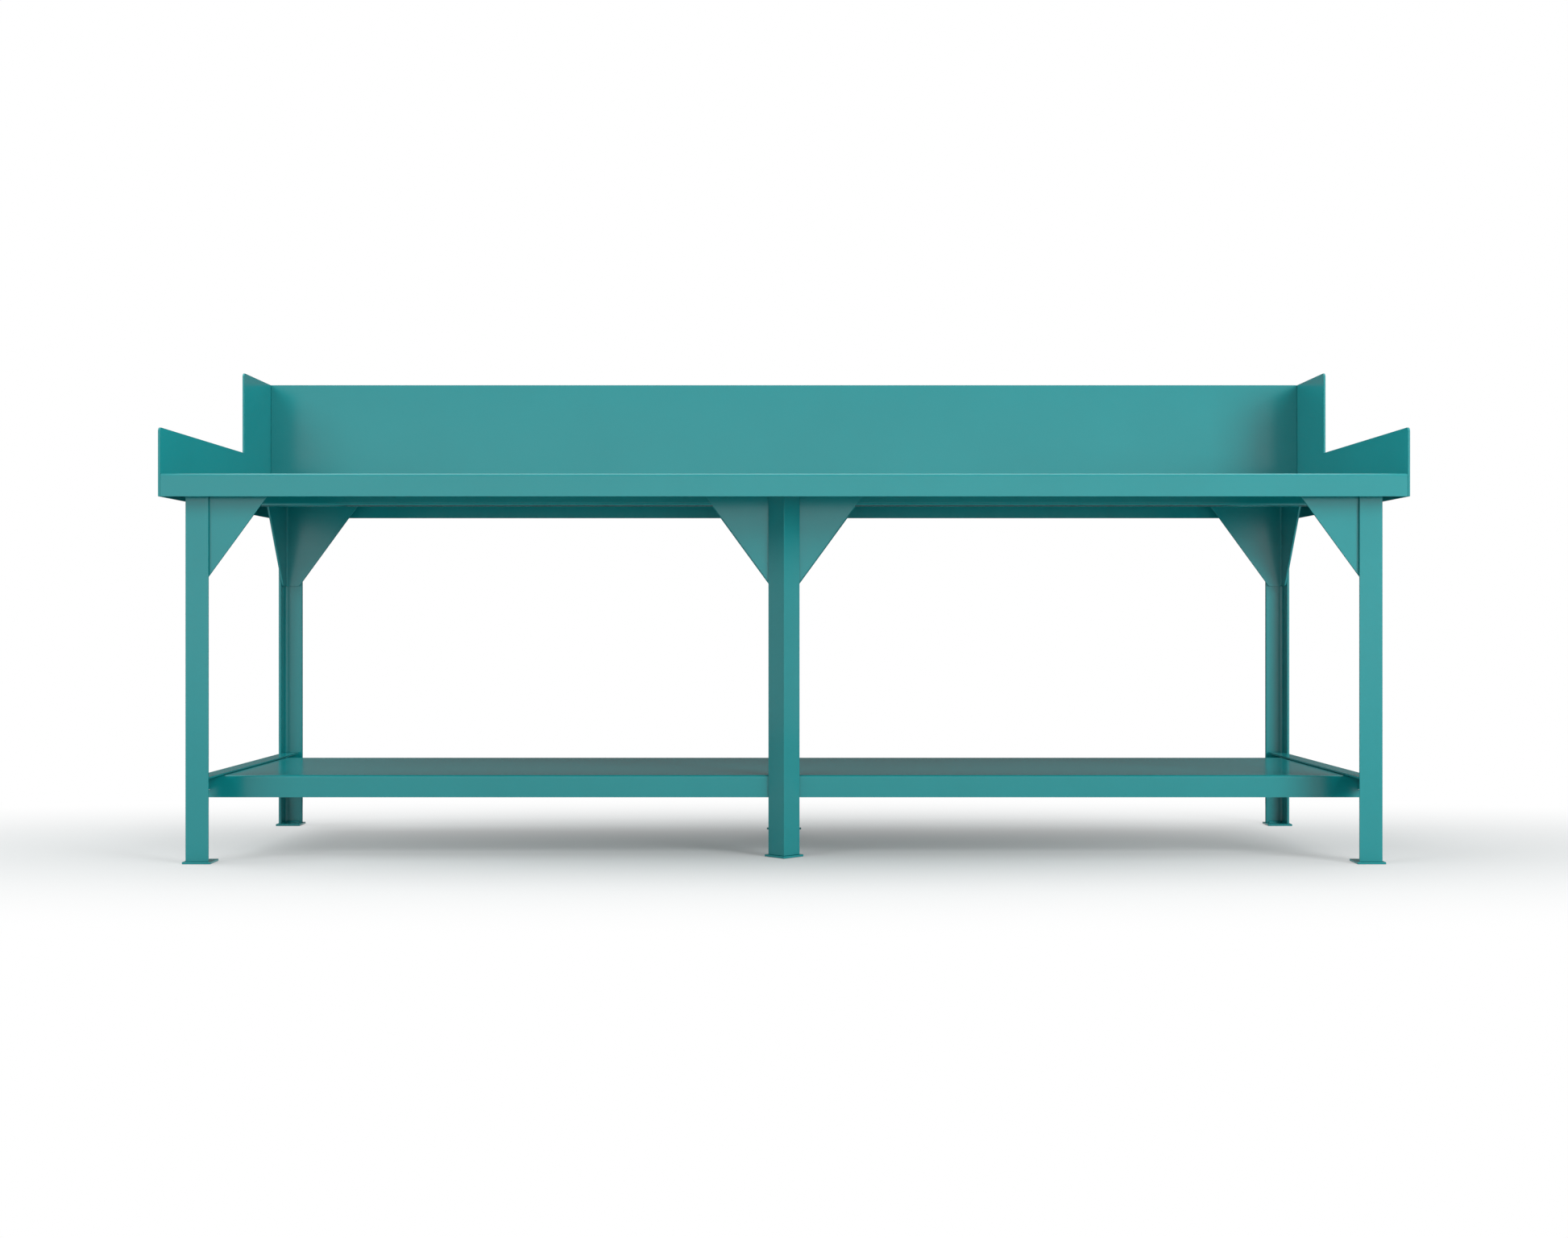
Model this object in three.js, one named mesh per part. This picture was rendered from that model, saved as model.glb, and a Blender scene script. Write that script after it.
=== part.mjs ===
// All-welded steel shop table with side and back guards and a lower shelf.
// Millimetres, +Z up, +X along the length, front edge towards -Y, origin on the floor
// under the middle of the whole table.
import * as THREE from 'three';

// Work top, a plate bent down along its front and rear edges
const TOP_LENGTH = 2743.2;
const TOP_DEPTH = 914.4;
const TOP_HEIGHT = 863.6;
const TOP_PLATE = 4.76;
const TOP_LIP = 50.8;
const TOP_BEND_INSIDE = 1.6;

// Guards round the top
const GUARD_PLATE = 4.76;
const GUARD_LOW_RISE = 101.6;
const GUARD_HIGH_RISE = 304.8;
const GUARD_HIGH_RUN = 254;
const GUARD_CORNER = 10;

// Channel that stiffens the top along its length
const STIFFENER_WIDE = 76.2;
const STIFFENER_DEEP = 40;
const STIFFENER_PLATE = 4.76;
const STIFFENER_BEND_INSIDE = 1.6;

// Rolled angle of the six legs, and how far the corner legs stand in from the edges of the top
const LEG_FLANGE = 50.8;
const LEG_WALL = 6.35;
const LEG_ROOT = 6.35;
const LEG_TOE = 3.2;
const LEG_INSET_END = 43.7;
const LEG_INSET_LIP = 38.1;

// Foot plate under each leg, with one anchor hole inside the angle
const FOOT_PLATE = 4.76;
const FOOT_MARGIN = 6.35;
const FOOT_CORNER = 1.5;
const ANCHOR_HOLE = 14.3;

// Gusset plates, measured from the faces of the leg that they seat on
const GUSSET_PLATE = 4.76;
const GUSSET_REACH = 204;
const GUSSET_TOE = 37;
const GUSSET_DROP = 228.6;
const GUSSET_CORNER = 6.35;
const GUSSET_BEVEL = 2.4;

// Lower shelf and the angles that carry its ends
const SHELF_HEIGHT = 185.7;
const SHELF_SETBACK = 177.8;
const SHELF_PLATE = 4.76;
const SHELF_LIP = 50.8;
const SHELF_BEND_INSIDE = 1.6;
const STRINGER_FLANGE = 38.1;
const STRINGER_WALL = 4.76;
const STRINGER_ROOT = 3.2;
const STRINGER_TOE = 2.4;

// Root gap between two pieces that are welded together
const WELD_GAP = 0.3;

// Facets in each rounded corner
const CORNER_STEPS = 6;
const HOLE_STEPS = 16;

// Places that several pieces share, with the depth measured from the middle of the top
const HALF_LENGTH = TOP_LENGTH / 2;
const HALF_DEPTH = TOP_DEPTH / 2;
const UNDERSIDE = TOP_HEIGHT - TOP_PLATE;
const LIP_BOTTOM = TOP_HEIGHT - TOP_LIP;
const WELD_TOP = UNDERSIDE - WELD_GAP;
const LEG_BOTTOM = FOOT_PLATE + WELD_GAP;
const HEEL_X = HALF_LENGTH - LEG_INSET_END;
const HEEL_Y = HALF_DEPTH - LEG_INSET_LIP;
const SHELF_HALF_DEPTH = HALF_DEPTH - SHELF_SETBACK;
const STRINGER_X = HEEL_X - LEG_WALL - WELD_GAP;

const X = new THREE.Vector3(1, 0, 0);
const Y = new THREE.Vector3(0, 1, 0);
const Z = new THREE.Vector3(0, 0, 1);
const DOWN = new THREE.Vector3(0, 0, -1);
const QUARTER_TURN = Math.PI / 2;

function powderCoat() {
  return new THREE.MeshStandardMaterial({ color: 0x2f8f92, roughness: 0.35, metalness: 0 });
}

function piece(name, geometry) {
  const mesh = new THREE.Mesh(geometry, powderCoat());
  mesh.name = name;
  return mesh;
}

// Points of a closed outline from its corners, each written as [x, y] or [x, y, radius]
function outline(corners) {
  const points = [];
  corners.forEach(([x, y, radius = 0], index) => {
    const corner = new THREE.Vector2(x, y);
    if (radius === 0) {
      points.push(corner);
      return;
    }
    const before = corners.at(index - 1);
    const after = corners[(index + 1) % corners.length];
    const toBefore = new THREE.Vector2(before[0], before[1]).sub(corner).normalize();
    const toAfter = new THREE.Vector2(after[0], after[1]).sub(corner).normalize();
    const halfAngle = Math.acos(toBefore.dot(toAfter)) / 2;
    const middle = toBefore.clone().add(toAfter).normalize();
    const centre = corner.clone().addScaledVector(middle, radius / Math.sin(halfAngle));
    const spoke = corner.clone().addScaledVector(toBefore, radius / Math.tan(halfAngle)).sub(centre);
    const turn = -Math.sign(toBefore.cross(toAfter)) * (Math.PI - 2 * halfAngle);
    for (let step = 0; step <= CORNER_STEPS; step++) {
      const angle = turn * step / CORNER_STEPS;
      points.push(spoke.clone().rotateAround(new THREE.Vector2(), angle).add(centre));
    }
  });
  return points;
}

// A section swept square to its own plane, half its length to each side of that plane
function sweep(shape, length, across, up) {
  const geometry = new THREE.ExtrudeGeometry(shape, {
    depth: length,
    bevelEnabled: false,
    curveSegments: HOLE_STEPS,
  });
  geometry.translate(0, 0, -length / 2);
  const along = new THREE.Vector3().crossVectors(across, up);
  return geometry.applyMatrix4(new THREE.Matrix4().makeBasis(across, up, along));
}

// Section of a plate with both edges bent down, its upper face on the axis
function pannedSection(wide, deep, plate, bendInside) {
  const half = wide / 2;
  const bend = bendInside + plate;
  return new THREE.Shape(outline([
    [half, -deep],
    [half, 0, bend],
    [-half, 0, bend],
    [-half, -deep],
    [plate - half, -deep],
    [plate - half, -plate, bendInside],
    [half - plate, -plate, bendInside],
    [half - plate, -deep],
  ]));
}

// Section of a rolled angle with its heel on the origin and a flange along each axis
function angleSection(flange, wall, root, toe) {
  const toeRadius = Math.min(toe, wall);
  return new THREE.Shape(outline([
    [0, 0],
    [flange, 0],
    [flange, wall, toeRadius],
    [wall, wall, root],
    [wall, flange, toeRadius],
    [0, flange],
  ]));
}

function topPan() {
  const section = pannedSection(TOP_DEPTH, TOP_LIP, TOP_PLATE, TOP_BEND_INSIDE);
  const pan = piece('top_pan', sweep(section, TOP_LENGTH, Y, Z));
  pan.position.z = TOP_HEIGHT;
  return pan;
}

function topStiffener() {
  const section = pannedSection(
    STIFFENER_WIDE,
    STIFFENER_DEEP - WELD_GAP,
    STIFFENER_PLATE,
    STIFFENER_BEND_INSIDE,
  );
  const channel = piece('top_stiffener', sweep(section, TOP_LENGTH, Y, Z));
  channel.rotation.x = Math.PI;
  channel.position.z = UNDERSIDE - STIFFENER_DEEP;
  return channel;
}

function sideGuard(name, side) {
  const rear = HALF_DEPTH + WELD_GAP + GUARD_PLATE;
  const step = HALF_DEPTH - GUARD_HIGH_RUN;
  const low = TOP_HEIGHT + GUARD_LOW_RISE;
  const high = TOP_HEIGHT + GUARD_HIGH_RISE;
  const shape = new THREE.Shape(outline([
    [-HALF_DEPTH, LIP_BOTTOM],
    [rear, LIP_BOTTOM],
    [rear, high],
    [step, high, GUARD_CORNER],
    [step, low],
    [-HALF_DEPTH, low, GUARD_CORNER],
  ]));
  const guard = piece(name, sweep(shape, GUARD_PLATE, Y, Z));
  guard.position.x = side * (HALF_LENGTH + WELD_GAP + GUARD_PLATE / 2);
  return guard;
}

function backGuard() {
  const height = TOP_LIP + GUARD_HIGH_RISE;
  const guard = piece('back_guard', new THREE.BoxGeometry(TOP_LENGTH, GUARD_PLATE, height));
  guard.position.y = HALF_DEPTH + WELD_GAP + GUARD_PLATE / 2;
  guard.position.z = LIP_BOTTOM + height / 2;
  return guard;
}

function shelfPan() {
  const wide = 2 * SHELF_HALF_DEPTH;
  const length = 2 * (STRINGER_X - STRINGER_WALL - STRINGER_ROOT - WELD_GAP);
  const section = pannedSection(wide, SHELF_LIP, SHELF_PLATE, SHELF_BEND_INSIDE);
  const pan = piece('shelf_pan', sweep(section, length, Y, Z));
  pan.position.z = SHELF_HEIGHT;
  return pan;
}

// The angle lies inside the leg flanges with one flange over the shelf and one hanging down
function shelfStringer(name, side) {
  const length = 2 * (HEEL_Y - LEG_WALL - LEG_ROOT - WELD_GAP);
  const section = angleSection(STRINGER_FLANGE, STRINGER_WALL, STRINGER_ROOT, STRINGER_TOE);
  const stringer = piece(name, sweep(section, length, X, DOWN));
  stringer.position.x = side * STRINGER_X;
  stringer.position.z = SHELF_HEIGHT + WELD_GAP + STRINGER_WALL;
  if (side > 0) {
    stringer.rotation.z = Math.PI;
  }
  return stringer;
}

// A leg with its heel on the axis and its flanges along X and Y
function angleLeg(name) {
  const section = angleSection(LEG_FLANGE, LEG_WALL, LEG_ROOT, LEG_TOE);
  const leg = piece(name, sweep(section, WELD_TOP - LEG_BOTTOM, X, Y));
  leg.position.z = (WELD_TOP + LEG_BOTTOM) / 2;
  return leg;
}

// A foot plate centred on the square that the angle fills, with its hole inside the angle
function footPlate(name) {
  const half = LEG_FLANGE / 2 + FOOT_MARGIN;
  const shape = new THREE.Shape(outline([
    [-half, -half, FOOT_CORNER],
    [half, -half, FOOT_CORNER],
    [half, half, FOOT_CORNER],
    [-half, half, FOOT_CORNER],
  ]));
  const shift = (LEG_WALL + FOOT_MARGIN) / 2;
  const hole = new THREE.Path();
  hole.absarc(shift, shift, ANCHOR_HOLE / 2, 0, 2 * Math.PI, true);
  shape.holes.push(hole);
  const foot = piece(name, sweep(shape, FOOT_PLATE, X, Y));
  foot.position.z = FOOT_PLATE / 2;
  return foot;
}

// Outline of a gusset that hangs from the axis, with its upright edge at root
function gussetOutline(root) {
  return outline([
    [root, -GUSSET_DROP],
    [GUSSET_TOE, -GUSSET_DROP, GUSSET_CORNER],
    [GUSSET_REACH, 0],
    [root, 0],
  ]);
}

// A gusset reaches along X from its root and is as thick as its plate along Y. It seats on
// the plane y = 0, and hand says on which side of it the plate lies. Its root edge slants
// from seatRoot to faceRoot, as a plate that is ground back for its weld does.
function gusset(name, seatRoot, faceRoot, hand) {
  const seat = gussetOutline(seatRoot);
  const face = gussetOutline(faceRoot);
  const count = seat.length;
  const positions = [
    ...seat.flatMap((point) => [point.x, 0, point.y]),
    ...face.flatMap((point) => [point.x, hand * GUSSET_PLATE, point.y]),
  ];
  const triangles = THREE.ShapeUtils.triangulateShape(seat, []);
  THREE.ShapeUtils.triangulateShape(face, []).forEach(([a, b, c]) => {
    triangles.push([count + a, count + c, count + b]);
  });
  seat.forEach((_, a) => {
    const b = (a + 1) % count;
    triangles.push([a, count + a, count + b], [a, count + b, b]);
  });
  const geometry = new THREE.BufferGeometry();
  geometry.setAttribute('position', new THREE.Float32BufferAttribute(positions, 3));
  geometry.setIndex(triangles.flatMap(([a, b, c]) => (hand > 0 ? [a, b, c] : [a, c, b])));
  geometry.computeVertexNormals();
  const plate = piece(name, geometry);
  plate.position.z = WELD_TOP;
  return plate;
}

// A corner leg with its foot and its two gussets, turned by quarters about its heel
function cornerPost(place, quarters, sideX, sideY) {
  const post = new THREE.Group();
  const alongX = quarters % 2 === 0;
  const inside = LEG_WALL + WELD_GAP;
  const partner = GUSSET_PLATE + WELD_GAP;
  const foot = footPlate(`foot_${place}`);
  foot.position.x = LEG_FLANGE / 2;
  foot.position.y = LEG_FLANGE / 2;
  const first = gusset(`gusset_${place}_${alongX ? 'face' : 'side'}`, LEG_ROOT, partner, 1);
  first.position.x = inside;
  first.position.y = inside;
  const second = gusset(`gusset_${place}_${alongX ? 'side' : 'face'}`, LEG_ROOT, partner, -1);
  second.position.x = inside;
  second.position.y = inside;
  second.rotation.z = QUARTER_TURN;
  post.add(angleLeg(`leg_${place}`), foot, first, second);
  post.rotation.z = quarters * QUARTER_TURN;
  post.position.x = sideX * HEEL_X;
  post.position.y = sideY * HEEL_Y;
  return post;
}

// A centre leg turned by an eighth, so that the toes of its angle touch the lip of the shelf,
// with its foot and the two gussets that close its open side under the top
function centrePost(place, right, left, sideY) {
  const post = new THREE.Group();
  const toe = Math.min(LEG_TOE, LEG_WALL);
  const heelToToes = (LEG_FLANGE + LEG_WALL - 2 * toe) * Math.SQRT1_2 + toe;
  const leg = angleLeg(`leg_${place}`);
  leg.rotation.z = QUARTER_TURN / 2;
  leg.position.y = -heelToToes;
  const foot = footPlate(`foot_${place}`);
  foot.rotation.z = QUARTER_TURN / 2;
  foot.position.y = LEG_FLANGE * Math.SQRT1_2 - heelToToes;
  const middle = WELD_GAP / 2;
  const ground = middle + GUSSET_BEVEL;
  const first = gusset(`gusset_${place}_${right}`, middle, ground, 1);
  first.position.y = WELD_GAP;
  const second = gusset(`gusset_${place}_${left}`, middle, ground, -1);
  second.position.y = WELD_GAP;
  second.rotation.z = 2 * QUARTER_TURN;
  post.add(leg, foot, first, second);
  post.rotation.z = sideY > 0 ? Math.PI : 0;
  post.position.y = sideY * (SHELF_HALF_DEPTH + WELD_GAP);
  return post;
}

const table = new THREE.Group();
table.add(
  topPan(),
  topStiffener(),
  sideGuard('side_guard_left', -1),
  sideGuard('side_guard_right', 1),
  backGuard(),
  shelfPan(),
  shelfStringer('shelf_stringer_left', -1),
  shelfStringer('shelf_stringer_right', 1),
  cornerPost('front_left', 0, -1, -1),
  cornerPost('front_right', 1, 1, -1),
  cornerPost('rear_right', 2, 1, 1),
  cornerPost('rear_left', 3, -1, 1),
  centrePost('front_centre', 'right', 'left', -1),
  centrePost('rear_centre', 'left', 'right', 1),
);
table.position.y = -(GUARD_PLATE + WELD_GAP) / 2;

export default table;
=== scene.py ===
# Looks of an all-welded steel shop table: powder-coated plate, angle legs and their welds.
# Metres, +Z up, +X along the length, the open front towards -Y, the floor at z = 0.
import math

import bpy
from mathutils import Matrix, Vector


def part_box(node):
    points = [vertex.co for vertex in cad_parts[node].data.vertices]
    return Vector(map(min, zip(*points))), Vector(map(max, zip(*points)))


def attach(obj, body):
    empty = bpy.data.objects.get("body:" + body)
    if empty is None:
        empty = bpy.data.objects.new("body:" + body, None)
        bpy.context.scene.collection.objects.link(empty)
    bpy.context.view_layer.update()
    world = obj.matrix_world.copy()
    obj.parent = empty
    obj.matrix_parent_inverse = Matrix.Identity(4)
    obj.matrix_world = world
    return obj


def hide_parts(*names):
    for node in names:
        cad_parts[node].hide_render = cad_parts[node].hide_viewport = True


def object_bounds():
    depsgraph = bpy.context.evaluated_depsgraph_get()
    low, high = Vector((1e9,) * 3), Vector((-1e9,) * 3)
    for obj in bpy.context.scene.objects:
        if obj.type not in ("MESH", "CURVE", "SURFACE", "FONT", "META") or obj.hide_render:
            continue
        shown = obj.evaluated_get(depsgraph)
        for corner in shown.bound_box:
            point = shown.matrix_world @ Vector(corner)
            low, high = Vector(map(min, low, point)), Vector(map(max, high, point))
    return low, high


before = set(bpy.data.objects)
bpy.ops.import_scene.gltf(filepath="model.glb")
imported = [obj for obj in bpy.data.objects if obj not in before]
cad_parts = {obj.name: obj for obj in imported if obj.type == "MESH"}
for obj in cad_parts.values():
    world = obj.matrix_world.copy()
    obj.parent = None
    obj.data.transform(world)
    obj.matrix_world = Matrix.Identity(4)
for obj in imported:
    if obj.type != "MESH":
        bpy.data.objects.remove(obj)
cad_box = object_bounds()

# Plate, bends, guards, feet and angle of the table
PLATE = 0.00476
BEND_OUTSIDE = 0.00636
LIP = 0.0508
STIFFENER_FLANGE = 0.0397
GUARD_CORNER = 0.010
GUARD_LOW_RISE = 0.1016
GUARD_HIGH_RUN = 0.254
FOOT_SIDE = 0.0635
FOOT_CORNER = 0.0015
HOLE_ASIDE = 0.00635
HOLE_RADIUS = 0.00715
LEG_WALL = 0.00635
LEG_ROOT = 0.00635
LEG_FLANGE = 0.0508
STRINGER_ROOT = 0.0032
GUSSET_REACH = 0.204
GUSSET_DROP = 0.2286
ROOT_GAP = 0.0003

# Edges as cutting and coating leave them, and the facets of round forms
EDGE_ROUND = 0.0006
EDGE_STEPS = 2
BEND_STEPS = 12
CIRCLE_STEPS = 48

# Limits of a sharp edge, of one flat face and of one place, and how far flat faces rule the shading
SHARP_ANGLE = math.radians(50)
FLAT_ANGLE = math.radians(1)
SAME_PLACE = 1e-5
FLAT_FACE_WEIGHT = 100

# Powder coat: its film in two tones, its gloss, its orange peel, and each noise as scale and detail
COAT_SLOT = "teal_powder_coat"
COAT_IOR = 1.5
COAT_DEEP = (0.0030, 0.215, 0.226, 1)
COAT_PALE = (0.0050, 0.240, 0.252, 1)
COAT_ROUGHNESS = (0.18, 0.23)
PEEL_STRENGTH = 0.03
PEEL_DEPTH = 0.0002
FILM_NOISE = (5, 3)
GLOSS_NOISE = (40, 2)
PEEL_NOISE = (350, 1)

# Fillet welds, laid in short stitches
WELD_LEG = 0.0040
WIDE_WELD_LEG = 0.0065
SEAM_WELD_LEG = 0.0030
WELD_SUNK = 0.0004
WELD_RIPPLE = 0.0034
WELD_SWELL = 1.10
WELD_TAPER = 0.55
STITCH = 0.046
SHORT_STITCH = 0.034
STITCH_INSET = 0.012
STIFFENER_STITCHES = 9
GUARD_STITCHES = 4
GUARD_WELD_FROM_FRONT = 2 * STITCH
GUARD_WELD_FROM_REAR = 5 * STITCH
SHELF_STITCHES = 4

# Camera, with its distance taken from the front of the table
CAMERA_HEIGHT = 0.5433
CAMERA_DISTANCE = 4.2266
IMAGE_WIDTH = 1946
FOCAL_PIXELS = 2386
SENSOR_WIDTH = 36
FAR_CLIP = 200

# Soft lamps: name, place, aim, size, strength and whether the gloss shows them
TABLE_MIDDLE = (0, 0, 0.6)
LAMPS = (
    ("front", (0, -7.0, 1.15), (0, 0, 1.15), (8.0, 2.2), 0.74, True),
    ("key", (5.4, -6.2, 2.1), TABLE_MIDDLE, (2.9, 3.2), 10.4, False),
    ("high_key", (3.2, -3.4, 3.2), TABLE_MIDDLE, (2.0, 2.0), 6.7, False),
    ("front_left", (-4.2, -4.6, 1.6), TABLE_MIDDLE, (2.4, 2.4), 0.6, False),
    ("high_front_left", (-3.2, -3.4, 3.2), TABLE_MIDDLE, (2.0, 2.0), 5.6, False),
    ("high_left", (-3.6, 0, 3.2), TABLE_MIDDLE, (2.4, 2.4), 4.2, True),
    ("high_right", (3.6, 0, 3.2), TABLE_MIDDLE, (2.4, 2.4), 2.2, True),
    ("overhead", (0, -0.2, 3.9), TABLE_MIDDLE, (4.4, 2.4), 2.5, True),
    ("rear", (0, 6.5, 1.8), (0, 0, 1.0), (6.0, 2.2), 3.4, False),
    ("under_top", (0, -0.25, 0.45), (0, 0.45, 0.45), (2.4, 0.3), 0.6, False),
)

# Fill in the shade, and the floor with a painted white glow that lifts its shadow near the table,
# spread in a shifted and stretched oval, and fades to pure white farther out
WHITE = (1, 1, 1, 1)
SHADE_FILL = 0.05
FLOOR_SIZE = 60
FLOOR_DROP = 0.0005
FLOOR_PAINT = (0.575, 0.605, 0.61, 1)
PAINTED_GLOW_FADE = (0, 1.3)
PAINTED_GLOW_SHIFT = (0, 0.12, 0)
PAINTED_GLOW_STRETCH = (0.32, 1, 1)
PAINTED_SHADOW_LIFT = 0.15

# Glowing cards that only the gloss sees, two behind the table and one under its top, which paint
# grey and dark reflections in place of the white studio and the pale floor:
# name, colour, place, tilt in degrees and size
CARD_GREY = (0.205, 0.21, 0.21, 1)
CARD_DARK = (0.004, 0.004, 0.004, 1)
GLOSS_CARDS = (
    ("grey_card", CARD_GREY, (0, 5.5, 2.7), 90, (14, 5.4)),
    ("dark_card", CARD_DARK, (0, 3.15, 0.26), 6.6, (14, 4.5)),
    ("under_card", CARD_DARK, (0, -0.162, 0.785), 0, (2.6, 0.2)),
)

UP = Vector((0, 0, 1))
DOWN = Vector((0, 0, -1))
QUARTER_TURN = math.radians(90)

# Each corner post with its side along X and along Y and its quarter turns, and each centre post
# with its side along Y and its quarter turns
CORNER_POSTS = (
    ("front_left", -1, -1, 0),
    ("front_right", 1, -1, 1),
    ("rear_right", 1, 1, 2),
    ("rear_left", -1, 1, 3),
)
CENTRE_POSTS = (
    ("front_centre", -1, 0.5),
    ("rear_centre", 1, 2.5),
)


def near(a, b):
    return abs(a - b) < SAME_PLACE


def deselect_all():
    bpy.ops.object.select_all(action="DESELECT")


def make_active(piece):
    deselect_all()
    piece.select_set(True)
    bpy.context.view_layer.objects.active = piece


def start_edit(piece, selected="DESELECT"):
    make_active(piece)
    bpy.ops.object.mode_set(mode="EDIT")
    bpy.ops.mesh.select_mode(type="VERT")
    bpy.ops.mesh.select_all(action=selected)


def end_edit():
    bpy.ops.object.mode_set(mode="OBJECT")


# In edit mode, selects the vertices that pass the test, with the edges between them
def select_where(piece, test, mode="VERT"):
    bpy.ops.mesh.select_mode(type="VERT")
    bpy.ops.mesh.select_all(action="DESELECT")
    bpy.ops.object.mode_set(mode="OBJECT")
    for vertex in piece.data.vertices:
        vertex.select = test(vertex.co)
    bpy.ops.object.mode_set(mode="EDIT")
    bpy.ops.mesh.select_mode(type=mode)


def extrude_by(shift):
    bpy.ops.mesh.extrude_region_move(TRANSFORM_OT_translate={"value": shift})


# A copy of a piece, with a mesh of its own
def fresh_copy(piece):
    copy = piece.copy()
    copy.data = piece.data.copy()
    bpy.context.scene.collection.objects.link(copy)
    return copy


def place_for_good(piece):
    make_active(piece)
    bpy.ops.object.transform_apply(location=True, rotation=True, scale=True)


def apply_modifiers(piece):
    make_active(piece)
    for modifier in list(piece.modifiers):
        bpy.ops.object.modifier_apply(modifier=modifier.name)


# Makes a bent sheet as thick as the plate, on its inner side for offset -1 and on both for 0
def thicken(piece, offset):
    plate = piece.modifiers.new("plate", "SOLIDIFY")
    plate.thickness = PLATE
    plate.offset = offset
    plate.use_even_offset = True
    apply_modifiers(piece)


# Rounds the sharp edges and keeps the flat faces flat in the shading
def round_edges(piece):
    make_active(piece)
    bpy.ops.object.shade_smooth()
    bevel = piece.modifiers.new("edges", "BEVEL")
    bevel.width = EDGE_ROUND
    bevel.segments = EDGE_STEPS
    bevel.limit_method = "ANGLE"
    bevel.angle_limit = SHARP_ANGLE
    flat = piece.modifiers.new("flats", "WEIGHTED_NORMAL")
    flat.mode = "FACE_AREA"
    flat.weight = FLAT_FACE_WEIGHT
    apply_modifiers(piece)


# Gives a piece its coat and its place on the table
def finish_piece(piece, *nodes):
    piece.data.name = piece.name
    piece.data.materials.clear()
    piece.data.materials.append(COAT)
    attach(piece, "root")
    if nodes:
        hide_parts(*nodes)


# Powder coat: a saturated teal under a clear gloss, with orange peel and faint unevenness
def powder_coat():
    material = bpy.data.materials.new(COAT_SLOT)
    material.use_nodes = True
    nodes = material.node_tree.nodes
    links = material.node_tree.links
    shader = nodes["Principled BSDF"]
    shader.inputs["Metallic"].default_value = 0.0
    shader.inputs["IOR"].default_value = COAT_IOR
    place = nodes.new("ShaderNodeTexCoord")

    def noise(scale, detail):
        texture = nodes.new("ShaderNodeTexNoise")
        texture.inputs["Scale"].default_value = scale
        texture.inputs["Detail"].default_value = detail
        links.new(place.outputs["Object"], texture.inputs["Vector"])
        return texture.outputs["Fac"]

    film = nodes.new("ShaderNodeMix")
    film.data_type = "RGBA"
    film.inputs["A"].default_value = COAT_DEEP
    film.inputs["B"].default_value = COAT_PALE
    links.new(noise(*FILM_NOISE), film.inputs["Factor"])
    links.new(film.outputs["Result"], shader.inputs["Base Color"])

    gloss = nodes.new("ShaderNodeMapRange")
    gloss.inputs["To Min"].default_value = COAT_ROUGHNESS[0]
    gloss.inputs["To Max"].default_value = COAT_ROUGHNESS[1]
    links.new(noise(*GLOSS_NOISE), gloss.inputs["Value"])
    links.new(gloss.outputs["Result"], shader.inputs["Roughness"])

    peel = nodes.new("ShaderNodeBump")
    peel.inputs["Strength"].default_value = PEEL_STRENGTH
    peel.inputs["Distance"].default_value = PEEL_DEPTH
    links.new(noise(*PEEL_NOISE), peel.inputs["Height"])
    links.new(peel.outputs["Normal"], shader.inputs["Normal"])
    return material


COAT = powder_coat()


# In edit mode, lengthens both lips below the given height, out to the given distance from the middle
def lengthen_lips(piece, below, reach):
    select_where(piece, lambda co: True)
    bpy.ops.mesh.bisect(plane_co=(0, 0, below), plane_no=(0, 0, 1))
    for side in (-1, 1):
        end = side * max(side * vertex.co.x for vertex in piece.data.vertices)
        select_where(piece, lambda co: near(co.x, end) and co.z < below + ROOT_GAP / 2, "EDGE")
        extrude_by((side * reach - end, 0, 0))


# A plate bent along both long edges, down for turn -1 and up for turn 1, and its lips lengthened
# in steps, each from a height down and out to a distance from the middle
def bent_plate(node, flange, turn, lip_steps=()):
    low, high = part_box(node)
    flat_at = high.z if turn < 0 else low.z
    middle = (low + high) / 2
    deselect_all()
    bpy.ops.mesh.primitive_plane_add(size=1, location=(middle.x, middle.y, flat_at))
    piece = bpy.context.object
    piece.name = node + "_coated"
    piece.scale = (high.x - low.x, high.y - low.y, 1)
    place_for_good(piece)
    start_edit(piece, "SELECT")
    if turn > 0:
        bpy.ops.mesh.flip_normals()
    for edge_y in (low.y, high.y):
        select_where(piece, lambda co: near(co.y, edge_y) and near(co.z, flat_at), "EDGE")
        extrude_by((0, 0, turn * flange))
    for edge_y in (low.y, high.y):
        select_where(piece, lambda co: near(co.y, edge_y) and near(co.z, flat_at), "EDGE")
        bpy.ops.mesh.bevel(offset=BEND_OUTSIDE, segments=BEND_STEPS, affect="EDGES")
    for below, reach in lip_steps:
        lengthen_lips(piece, below, reach)
    end_edit()
    thicken(piece, -1)
    round_edges(piece)
    finish_piece(piece, node)


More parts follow.
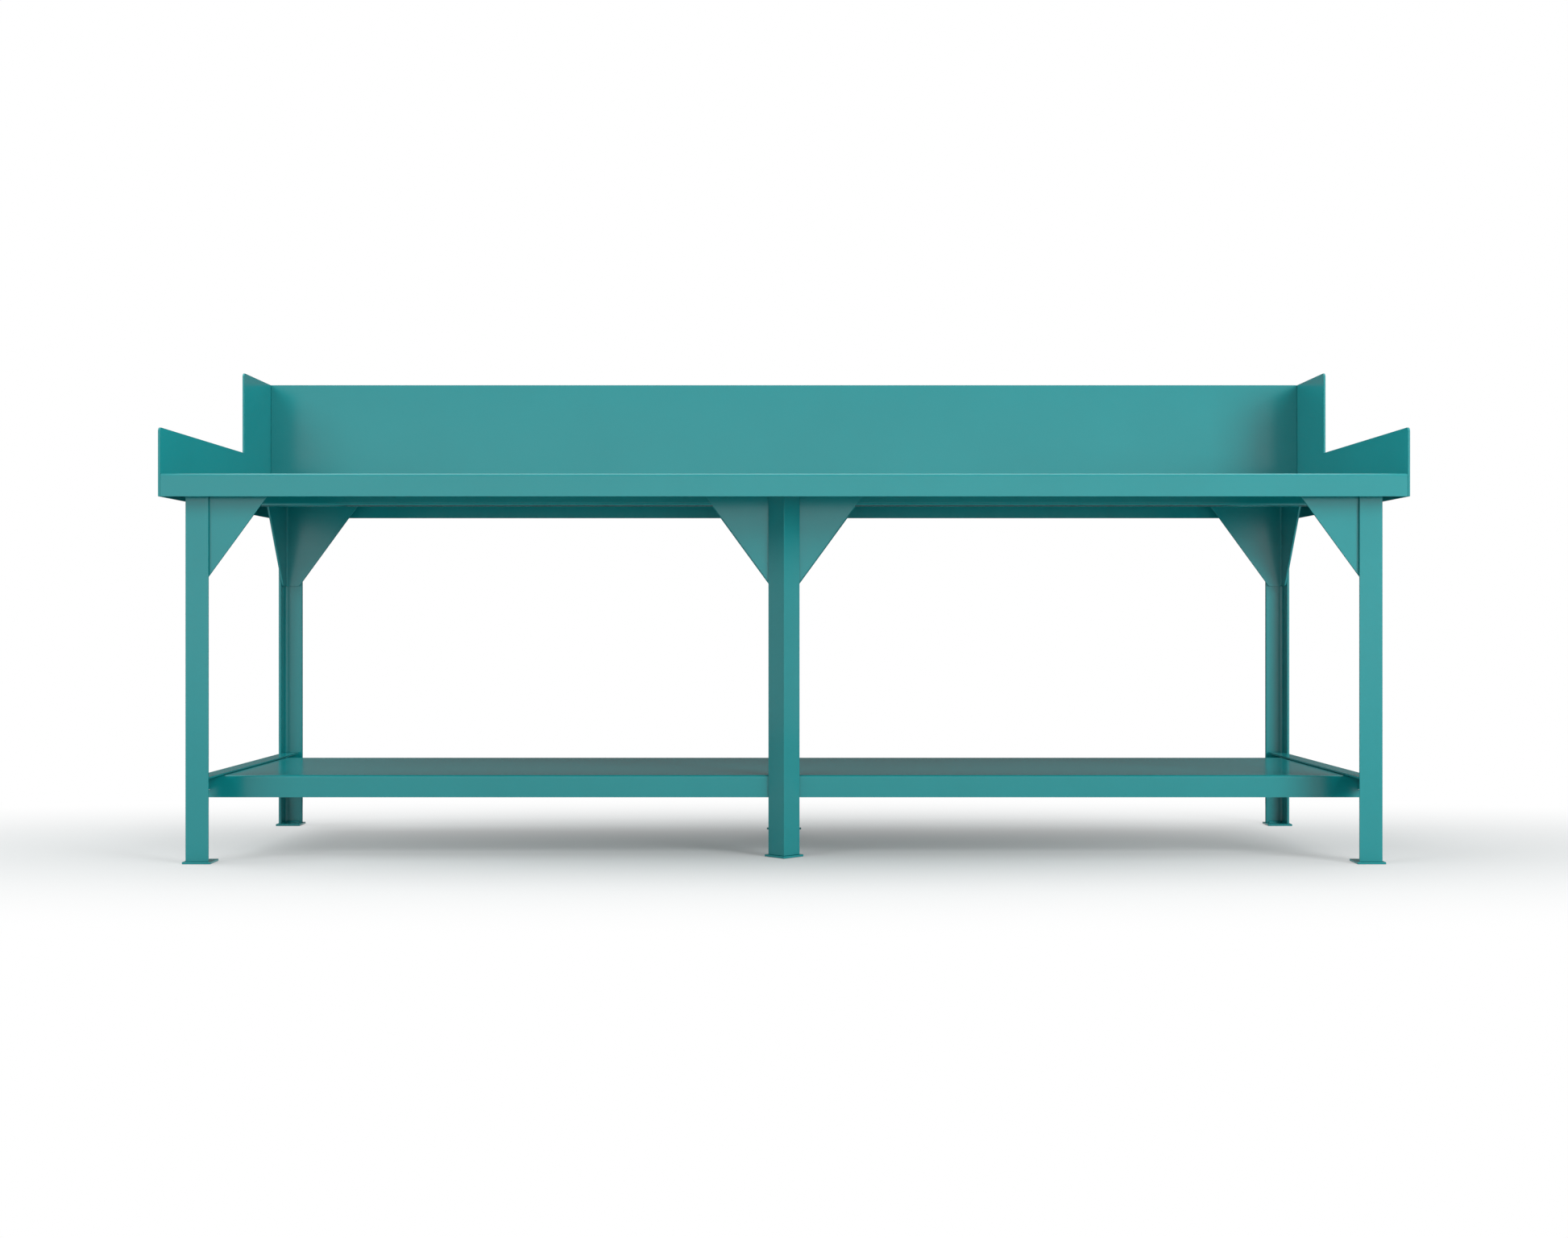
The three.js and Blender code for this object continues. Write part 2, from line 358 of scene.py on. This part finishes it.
# A side guard, low along the front and stepped up at the rear, with two rounded corners
def side_guard(node):
    low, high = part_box(node)
    low_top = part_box("top_pan")[1].z + GUARD_LOW_RISE
    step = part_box("back_guard")[0].y - ROOT_GAP - GUARD_HIGH_RUN
    middle = (low + high) / 2
    deselect_all()
    bpy.ops.mesh.primitive_plane_add(size=1, location=(middle.x, middle.y, (low.z + low_top) / 2),
                                     rotation=(0, QUARTER_TURN, 0))
    piece = bpy.context.object
    piece.name = node + "_coated"
    piece.scale = (low_top - low.z, high.y - low.y, 1)
    place_for_good(piece)
    start_edit(piece, "SELECT")
    bpy.ops.mesh.bisect(plane_co=(middle.x, step, 0), plane_no=(0, 1, 0))
    select_where(piece, lambda co: co.y > step - ROOT_GAP and near(co.z, low_top), "EDGE")
    extrude_by((0, 0, high.z - low_top))
    for corner_y, corner_z in ((low.y, low_top), (step, high.z)):
        select_where(piece, lambda co: near(co.y, corner_y) and near(co.z, corner_z))
        bpy.ops.mesh.bevel(offset=GUARD_CORNER, segments=BEND_STEPS, affect="VERTICES")
    end_edit()
    thicken(piece, 0)
    round_edges(piece)
    finish_piece(piece, node)


# A foot plate about the origin, its anchor hole towards +X and +Y
def foot_plate():
    deselect_all()
    bpy.ops.mesh.primitive_cylinder_add(vertices=CIRCLE_STEPS, radius=HOLE_RADIUS, depth=2 * PLATE,
                                        location=(HOLE_ASIDE, HOLE_ASIDE, 0))
    drill = bpy.context.object
    place_for_good(drill)
    deselect_all()
    bpy.ops.mesh.primitive_cube_add(size=1)
    foot = bpy.context.object
    foot.scale = (FOOT_SIDE, FOOT_SIDE, PLATE)
    place_for_good(foot)
    start_edit(foot)
    for edge_x in (-FOOT_SIDE / 2, FOOT_SIDE / 2):
        for edge_y in (-FOOT_SIDE / 2, FOOT_SIDE / 2):
            select_where(foot, lambda co: near(co.x, edge_x) and near(co.y, edge_y), "EDGE")
            bpy.ops.mesh.bevel(offset=FOOT_CORNER, segments=EDGE_STEPS + 1, affect="EDGES")
    end_edit()
    hole = foot.modifiers.new("anchor_hole", "BOOLEAN")
    hole.operation = "DIFFERENCE"
    hole.solver = "EXACT"
    hole.object = drill
    apply_modifiers(foot)
    bpy.data.objects.remove(drill)
    round_edges(foot)
    return foot


def feet():
    pattern = foot_plate()
    places = [(place, quarters) for place, _, _, quarters in CORNER_POSTS]
    places += [(place, quarters) for place, _, quarters in CENTRE_POSTS]
    for place, quarters in places:
        node = "foot_" + place
        low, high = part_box(node)
        foot = fresh_copy(pattern)
        foot.name = node + "_coated"
        foot.location = (low + high) / 2
        foot.rotation_euler = (0, 0, QUARTER_TURN * quarters)
        place_for_good(foot)
        finish_piece(foot, node)
    bpy.data.objects.remove(pattern)


# A solid whose shape is right, with its flat faces whole and its sharp edges rounded
def coated_solid(node):
    piece = fresh_copy(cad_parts[node])
    piece.name = node + "_coated"
    start_edit(piece, "SELECT")
    bpy.ops.mesh.remove_doubles(threshold=SAME_PLACE)
    bpy.ops.mesh.dissolve_limited(angle_limit=FLAT_ANGLE)
    end_edit()
    round_edges(piece)
    finish_piece(piece, node)


# A fillet weld along +Z, its corner on the axis and its legs along +X and +Y. Its face is part of
# a circle about (-leg, -leg) that cuts each wall one leg from the corner.
def weld_bead(length, leg):
    face_radius = math.hypot(2 * leg, leg)
    deselect_all()
    bpy.ops.mesh.primitive_circle_add(vertices=CIRCLE_STEPS, radius=face_radius,
                                      fill_type="NGON", location=(-leg, -leg, 0))
    bead = bpy.context.object
    place_for_good(bead)
    start_edit(bead, "SELECT")
    bpy.ops.mesh.bisect(plane_co=(-WELD_SUNK, 0, 0), plane_no=(1, 0, 0), clear_inner=True)
    bpy.ops.mesh.select_all(action="SELECT")
    bpy.ops.mesh.bisect(plane_co=(0, -WELD_SUNK, 0), plane_no=(0, 1, 0), clear_inner=True)
    bpy.ops.mesh.select_mode(type="FACE")
    bpy.ops.mesh.select_all(action="SELECT")
    ripples = round(length / WELD_RIPPLE)
    step = length / ripples / 2
    size = WELD_TAPER
    bpy.ops.transform.resize(value=(size, size, 1), center_override=(0, 0, 0))
    for ring in range(1, 2 * ripples + 1):
        wanted = WELD_SWELL if ring % 2 else 1
        if ring == 2 * ripples:
            wanted = WELD_TAPER
        extrude_by((0, 0, step))
        bpy.ops.transform.resize(value=(wanted / size, wanted / size, 1), center_override=(0, 0, 0))
        size = wanted
    bpy.ops.mesh.select_all(action="SELECT")
    bpy.ops.mesh.normals_make_consistent(inside=False)
    end_edit()
    bpy.ops.object.shade_smooth_by_angle(angle=SHARP_ANGLE)
    return bead


# Lays a copy of a bead from a corner point, along a line between two walls
def lay(bead, corner, along, wall, other_wall):
    along, wall, other_wall = Vector(along), Vector(wall), Vector(other_wall)
    if wall.cross(other_wall).dot(along) < 0:
        wall, other_wall = other_wall, wall
    copy = fresh_copy(bead)
    turn = Matrix((wall, other_wall, along)).transposed().to_4x4()
    copy.matrix_world = Matrix.Translation(corner) @ turn
    place_for_good(copy)
    return copy


def join_welds(name, beads):
    deselect_all()
    for bead in beads:
        bead.select_set(True)
    bpy.context.view_layer.objects.active = beads[0]
    bpy.ops.object.join()
    joined = bpy.context.object
    joined.name = name
    finish_piece(joined)


# Welds of one corner post, kept to the sides of the joints that face away from the front: the leg
# on its foot and under the top, the gussets under the top and on the leg, and the seam between them
def corner_post_welds(place, side_x, side_y, underside):
    low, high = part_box("leg_" + place)
    foot_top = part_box("foot_" + place)[1].z
    heel = Vector((low.x if side_x < 0 else high.x, low.y if side_y < 0 else high.y, 0))
    in_x = Vector((-side_x, 0, 0))
    in_y = Vector((0, -side_y, 0))
    seat = LEG_WALL + ROOT_GAP
    gusset_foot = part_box(f"gusset_{place}_face")[0].z
    beads = []
    for along, across in ((in_x, in_y), (in_y, in_x)):
        start = heel + along * (LEG_WALL + LEG_ROOT / 2)
        beads.append(lay(SHORT_BEAD, start + across * LEG_WALL + UP * foot_top, along, across, UP))
        top = heel + UP * underside
        beads.append(lay(BEAD, top + along * PLATE, along, -across, DOWN))
        inner = top + across * (seat + PLATE)
        outer = top + across * seat
        last = LEG_WALL + GUSSET_REACH - STITCH - STITCH_INSET
        beads.append(lay(BEAD, inner + along * (LEG_FLANGE - STITCH_INSET), along, across, DOWN))
        beads.append(lay(BEAD, inner + along * last, along, across, DOWN))
        beads.append(lay(BEAD, outer + along * (LEG_FLANGE + STITCH_INSET), along, -across, DOWN))
        beads.append(lay(BEAD, outer + along * last, along, -across, DOWN))
        if side_y > 0:
            toe = heel + across * seat + along * LEG_FLANGE
            for z in (underside - STITCH_INSET - STITCH, gusset_foot + 2 * STITCH):
                beads.append(lay(BEAD, toe + UP * z, UP, along, -across))
    inside = heel + (in_x + in_y) * (seat + PLATE) + UP * gusset_foot
    beads.append(lay(SEAM_BEAD, inside, UP, in_x, in_y))
    join_welds("weld_post_" + place, beads)


# Welds of one centre post, whose angle is turned by an eighth
def centre_post_welds(place, side_y, underside):
    low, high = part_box("leg_" + place)
    foot_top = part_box("foot_" + place)[1].z
    heel = Vector((0, low.y if side_y < 0 else high.y, 0))
    beads = []
    flanges = [Vector((side, -side_y, 0)).normalized() for side in (-1, 1)]
    for along, across in (flanges, reversed(flanges)):
        start = heel + along * (LEG_WALL + LEG_ROOT / 2) + across * LEG_WALL
        beads.append(lay(SHORT_BEAD, start + UP * foot_top, along, across, UP))
        beads.append(lay(BEAD, heel + along * PLATE + UP * underside, along, -across, DOWN))
    for side, hand in ((-1, "left"), (1, "right")):
        gusset_low, gusset_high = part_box(f"gusset_{place}_{hand}")
        far_face = gusset_high.y if side_y < 0 else gusset_low.y
        for run in (LEG_FLANGE - STITCH_INSET, GUSSET_REACH - STITCH - STITCH_INSET):
            corner = (side * run, far_face, underside)
            beads.append(lay(BEAD, corner, (side, 0, 0), (0, -side_y, 0), DOWN))
    join_welds("weld_post_" + place, beads)


# Starts of evenly spread stitches of a weld from first to last
def stitches(first, last, count):
    return [first + (last - STITCH - first) * index / (count - 1) for index in range(count)]


def stiffener_welds(underside):
    low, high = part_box("top_stiffener")
    beads = []
    for face, out in ((low.y, -1), (high.y, 1)):
        for x in stitches(low.x + STITCH, high.x - STITCH, STIFFENER_STITCHES):
            beads.append(lay(BEAD, (x, face, underside), (1, 0, 0), (0, out, 0), DOWN))
    join_welds("weld_stiffener", beads)


# Stitches under the ends of the top, in the corner between it and a side guard
def guard_welds(hand, side, underside):
    low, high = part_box("side_guard_" + hand)
    face = high.x if side < 0 else low.x
    beads = []
    for y in stitches(low.y + GUARD_WELD_FROM_FRONT, high.y - GUARD_WELD_FROM_REAR, GUARD_STITCHES):
        beads.append(lay(BEAD, (face, y, underside), (0, 1, 0), (-side, 0, 0), DOWN))
    join_welds("weld_side_guard_" + hand, beads)


# Stitches under the end of the shelf, and at the ends of the angle that carries it
def stringer_welds(hand, side):
    low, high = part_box("shelf_stringer_" + hand)
    shelf_low, shelf_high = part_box("shelf_pan")
    outside = low.x if side < 0 else high.x
    inside = outside - side * PLATE
    beads = []
    for y in stitches(shelf_low.y + STITCH, shelf_high.y - STITCH, SHELF_STITCHES):
        corner = (inside, y, shelf_high.z - PLATE)
        beads.append(lay(WIDE_BEAD, corner, (0, 1, 0), (-side, 0, 0), DOWN))
    for end, inward in ((low.y, 1), (high.y, -1)):
        corner = (outside, end, low.z)
        beads.append(lay(SHORT_BEAD, corner, (0, inward, 0), (-side, 0, 0), DOWN))
    join_welds("weld_stringer_" + hand, beads)


stringer_low, stringer_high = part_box("shelf_stringer_right")
bent_plate("top_pan", LIP, -1)
bent_plate("shelf_pan", LIP, -1, (
    (stringer_high.z - PLATE - STRINGER_ROOT - ROOT_GAP, stringer_high.x - PLATE - ROOT_GAP),
    (stringer_low.z - ROOT_GAP, stringer_high.x),
))
bent_plate("top_stiffener", STIFFENER_FLANGE, 1)
side_guard("side_guard_left")
side_guard("side_guard_right")
feet()
for node in sorted(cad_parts):
    if node.startswith(("leg_", "gusset_", "shelf_stringer_", "back_guard")):
        coated_solid(node)

BEAD = weld_bead(STITCH, WELD_LEG)
SHORT_BEAD = weld_bead(SHORT_STITCH, WELD_LEG)
WIDE_BEAD = weld_bead(STITCH, WIDE_WELD_LEG)
SEAM_BEAD = weld_bead(GUSSET_DROP, SEAM_WELD_LEG)
top_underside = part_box("top_pan")[1].z - PLATE
for place, side_x, side_y, _ in CORNER_POSTS:
    corner_post_welds(place, side_x, side_y, top_underside)
for place, side_y, _ in CENTRE_POSTS:
    centre_post_welds(place, side_y, top_underside)
stiffener_welds(top_underside)
for hand, side in (("left", -1), ("right", 1)):
    guard_welds(hand, side, top_underside)
    stringer_welds(hand, side)
for bead in (BEAD, SHORT_BEAD, WIDE_BEAD, SEAM_BEAD):
    bpy.data.objects.remove(bead)


def set_camera():
    front = cad_box[0].y
    data = bpy.data.cameras.new("camera")
    data.sensor_width = SENSOR_WIDTH
    data.lens = FOCAL_PIXELS / IMAGE_WIDTH * data.sensor_width
    data.clip_end = FAR_CLIP
    camera = bpy.data.objects.new("camera", data)
    camera.location = (0, front - CAMERA_DISTANCE, CAMERA_HEIGHT)
    camera.rotation_euler = (QUARTER_TURN, 0, 0)
    bpy.context.scene.collection.objects.link(camera)
    bpy.context.scene.camera = camera


# A soft lamp that faces the given point, as strong as a white wall times its strength
def soft_lamp(name, place, aim, size, strength, in_gloss):
    data = bpy.data.lights.new(name, "AREA")
    data.shape = "RECTANGLE"
    data.size, data.size_y = size
    data.energy = strength * math.pi * data.size * data.size_y
    lamp = bpy.data.objects.new(name, data)
    lamp.location = place
    lamp.rotation_euler = (Vector(aim) - Vector(place)).to_track_quat("-Z", "Y").to_euler()
    lamp.visible_camera = False
    lamp.visible_glossy = in_gloss
    bpy.context.scene.collection.objects.link(lamp)


# One where the camera, the gloss or glass looks, nought for the rest
def seen_directly(nodes, links):
    path = nodes.new("ShaderNodeLightPath")
    seen = path.outputs["Is Camera Ray"]
    for other in ("Is Glossy Ray", "Is Transmission Ray"):
        either = nodes.new("ShaderNodeMath")
        either.operation = "MAXIMUM"
        links.new(seen, either.inputs[0])
        links.new(path.outputs[other], either.inputs[1])
        seen = either.outputs[0]
    return seen


# White where it is seen, and a faint fill in the shade
def set_world():
    world = bpy.data.worlds.new("studio")
    bpy.context.scene.world = world
    world.use_nodes = True
    nodes = world.node_tree.nodes
    links = world.node_tree.links
    backdrop = nodes["Background"]
    backdrop.inputs["Color"].default_value = WHITE
    backdrop.inputs["Strength"].default_value = 1.0
    fill = nodes.new("ShaderNodeBackground")
    fill.inputs["Color"].default_value = WHITE
    fill.inputs["Strength"].default_value = SHADE_FILL
    mix = nodes.new("ShaderNodeMixShader")
    links.new(seen_directly(nodes, links), mix.inputs["Fac"])
    links.new(fill.outputs[0], mix.inputs[1])
    links.new(backdrop.outputs[0], mix.inputs[2])
    links.new(mix.outputs[0], nodes["World Output"].inputs["Surface"])


# A new material with nothing but its output
def empty_material(name):
    material = bpy.data.materials.new(name)
    material.use_nodes = True
    nodes = material.node_tree.nodes
    nodes.remove(nodes["Principled BSDF"])
    return material, nodes, material.node_tree.links


def even_glow(nodes, colour):
    glow = nodes.new("ShaderNodeEmission")
    glow.inputs["Color"].default_value = colour
    glow.inputs["Strength"].default_value = 1.0
    return glow.outputs[0]


# Pale floor that keeps the shadow near the table under a painted white glow: the glow lifts the
# shadow, grows through an oval about the table and is pure white farther out
def white_floor():
    material, nodes, links = empty_material("white_floor")
    paint = nodes.new("ShaderNodeBsdfDiffuse")
    paint.inputs["Color"].default_value = FLOOR_PAINT
    place = nodes.new("ShaderNodeTexCoord")
    oval = nodes.new("ShaderNodeMapping")
    oval.inputs["Location"].default_value = PAINTED_GLOW_SHIFT
    oval.inputs["Scale"].default_value = PAINTED_GLOW_STRETCH
    links.new(place.outputs["Object"], oval.inputs["Vector"])
    apart = nodes.new("ShaderNodeVectorMath")
    apart.operation = "LENGTH"
    links.new(oval.outputs["Vector"], apart.inputs[0])
    # Painted light: the share of white glow over the floor's real shadow, from the shadow lift near
    # the table up to full white outside the oval
    fade = nodes.new("ShaderNodeMapRange")
    fade.interpolation_type = "SMOOTHSTEP"
    fade.inputs["From Min"].default_value = PAINTED_GLOW_FADE[0]
    fade.inputs["From Max"].default_value = PAINTED_GLOW_FADE[1]
    fade.inputs["To Min"].default_value = PAINTED_SHADOW_LIFT
    links.new(apart.outputs["Value"], fade.inputs["Value"])
    share = nodes.new("ShaderNodeMath")
    share.operation = "MULTIPLY"
    links.new(fade.outputs["Result"], share.inputs[0])
    links.new(seen_directly(nodes, links), share.inputs[1])
    mix = nodes.new("ShaderNodeMixShader")
    links.new(share.outputs[0], mix.inputs["Fac"])
    links.new(paint.outputs[0], mix.inputs[1])
    links.new(even_glow(nodes, WHITE), mix.inputs[2])
    links.new(mix.outputs[0], nodes["Material Output"].inputs["Surface"])
    deselect_all()
    bpy.ops.mesh.primitive_plane_add(size=FLOOR_SIZE, location=(0, 0, -FLOOR_DROP))
    floor = bpy.context.object
    floor.name = "floor"
    floor.data.materials.append(material)


# A glowing card that paints a grey or dark reflection into the gloss of the shelf or the underside,
# in place of the white studio or the pale floor
def gloss_card(name, colour, place, tilt, size):
    material, nodes, links = empty_material(name)
    links.new(even_glow(nodes, colour), nodes["Material Output"].inputs["Surface"])
    deselect_all()
    bpy.ops.mesh.primitive_plane_add(size=1, location=place, rotation=(math.radians(tilt), 0, 0))
    card = bpy.context.object
    card.name = name
    card.scale = (size[0], size[1], 1)
    card.data.materials.append(material)
    card.visible_camera = False
    card.visible_diffuse = False
    card.visible_shadow = False


set_camera()
set_world()
white_floor()
for card in GLOSS_CARDS:
    gloss_card(*card)
for lamp in LAMPS:
    soft_lamp(*lamp)
bpy.context.scene.view_settings.view_transform = "Standard"
